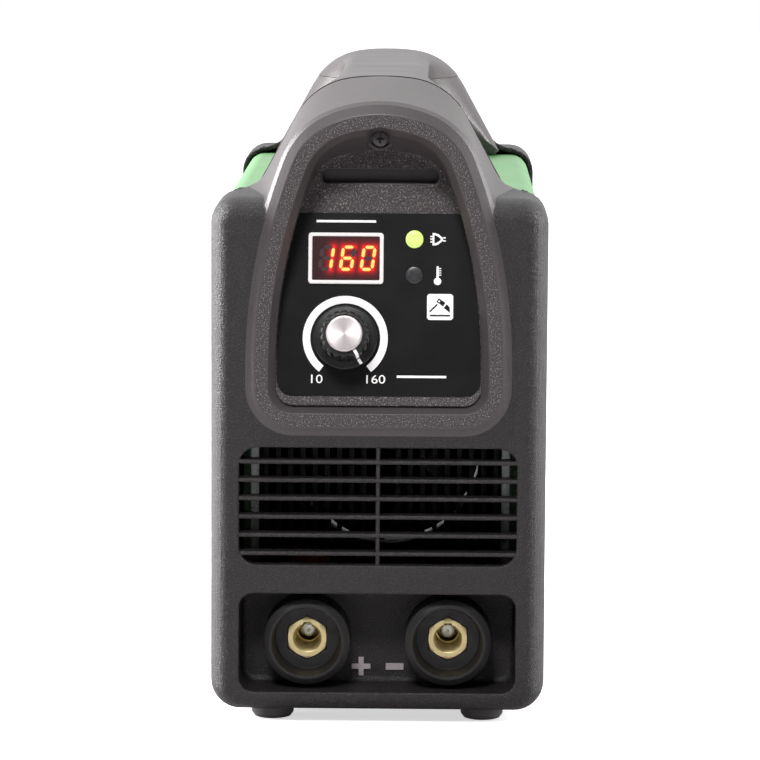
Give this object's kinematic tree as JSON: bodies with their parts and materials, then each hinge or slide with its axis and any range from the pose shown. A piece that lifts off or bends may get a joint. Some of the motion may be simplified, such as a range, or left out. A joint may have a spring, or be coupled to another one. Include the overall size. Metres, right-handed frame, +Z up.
{
  "type": "stick welding inverter",
  "caption": "Portable stick welding power source: two moulded end housings, green steel cover, bridge handle, arched control panel with current knob and display, two output sockets.",
  "frame": {"origin": "on the floor under the middle of the machine, at the centre of the bottom of its bounding box", "axes": "+X to the right when facing the front panel, +Y from the front to the back, +Z up"},
  "size_m": [0.13, 0.3352, 0.25],
  "materials": {
    "textured_plastic": "fine spark-eroded texture",
    "smooth_plastic": "satin, moulded",
    "green_powder_coat": "light green powder coat, satin",
    "zinc_steel": "bright zinc plate",
    "black_oxide_steel": "black oxide, oiled",
    "foot_rubber": "matt",
    "label_film": "screen-printed polycarbonate film",
    "white_plastic": "satin",
    "red_filter": "tinted filter window",
    "lamp_lit": "lit lens",
    "lamp_dark": "unlit lens",
    "knob_black": "satin, moulded",
    "spun_aluminium": "spun face",
    "circuit_board": "solder-resist on glass epoxy",
    "socket_plastic": "moulded",
    "contact_brass": "turned",
    "bar_copper": "drawn",
    "mark_print": "pad print",
    "fan_plastic": "moulded",
    "bright_wire": "nickel plated",
    "rocker_red": "moulded",
    "gland_nylon": "moulded",
    "heatsink_aluminium": "extruded",
    "component_black": "moulded epoxy",
    "capacitor_sleeve": "shrink sleeve",
    "ferrite": "sintered",
    "wire_insulation": "extruded"
  },
  "bodies": {
    "housing": {"front_housing": "textured_plastic", "louvre_insert": "textured_plastic", "rear_housing": "textured_plastic", "steel_cover": "green_powder_coat", "base_pan": "zinc_steel", "handle_upper": "smooth_plastic", "handle_lower": "smooth_plastic", "rubber_feet": "foot_rubber", "panel_overlay": "label_film", "display_surround": "white_plastic", "display_window": "red_filter", "display_module": "white_plastic", "power_lamp": "lamp_lit", "heat_lamp": "lamp_dark", "pot_body": "zinc_steel", "pot_nut": "zinc_steel", "control_board": "circuit_board", "socket_body_plus": "socket_plastic", "socket_body_minus": "socket_plastic", "socket_contact_plus": "contact_brass", "socket_contact_minus": "contact_brass", "socket_ring_nuts": "socket_plastic", "socket_bolts": "zinc_steel", "busbar_plus": "bar_copper", "busbar_minus": "bar_copper", "polarity_marks": "mark_print", "strap_bars": "black_oxide_steel", "handle_screws": "black_oxide_steel", "cover_screws": "zinc_steel", "fan_frame": "fan_plastic", "fan_guard": "bright_wire", "fan_screws": "zinc_steel", "switch_housing": "knob_black", "switch_terminals": "zinc_steel", "gland_body": "gland_nylon", "gland_cap": "gland_nylon", "gland_seal": "foot_rubber", "gland_locknut": "gland_nylon", "earth_screw": "contact_brass", "power_board": "circuit_board", "board_posts": "zinc_steel", "heatsink_left": "heatsink_aluminium", "heatsink_right": "heatsink_aluminium", "power_transistors": "component_black", "bus_capacitors": "capacitor_sleeve", "transformer_core": "ferrite", "transformer_winding": "bar_copper", "choke_core": "ferrite", "choke_winding": "bar_copper", "bridge_rectifier": "component_black", "mains_wires": "wire_insulation", "control_ribbon": "wire_insulation"},
    "knob": {"knob_body": "knob_black", "knob_cap": "spun_aluminium", "knob_pointer": "white_plastic", "pot_shaft": "zinc_steel"},
    "rocker": {"switch_rocker": "rocker_red"},
    "fan": {"fan_rotor": "fan_plastic"}
  },
  "joints": [
    {"name": "knob_turn", "type": "hinge", "parent": "housing", "child": "knob", "pos_m": [-0.013, -0.14767, 0.1506], "axis": [0, -0.9763, 0.2164], "range_deg": [0, 296]},
    {"name": "switch_rock", "type": "hinge", "parent": "housing", "child": "rocker", "pos_m": [-0.017, 0.141, 0.172], "axis": [-1, 0, 0], "range_deg": [0, 20]},
    {"name": "fan_spin", "type": "hinge", "parent": "housing", "child": "fan", "pos_m": [0, 0.138, 0.066], "axis": [0, 1, 0], "continuous": true}
  ]
}
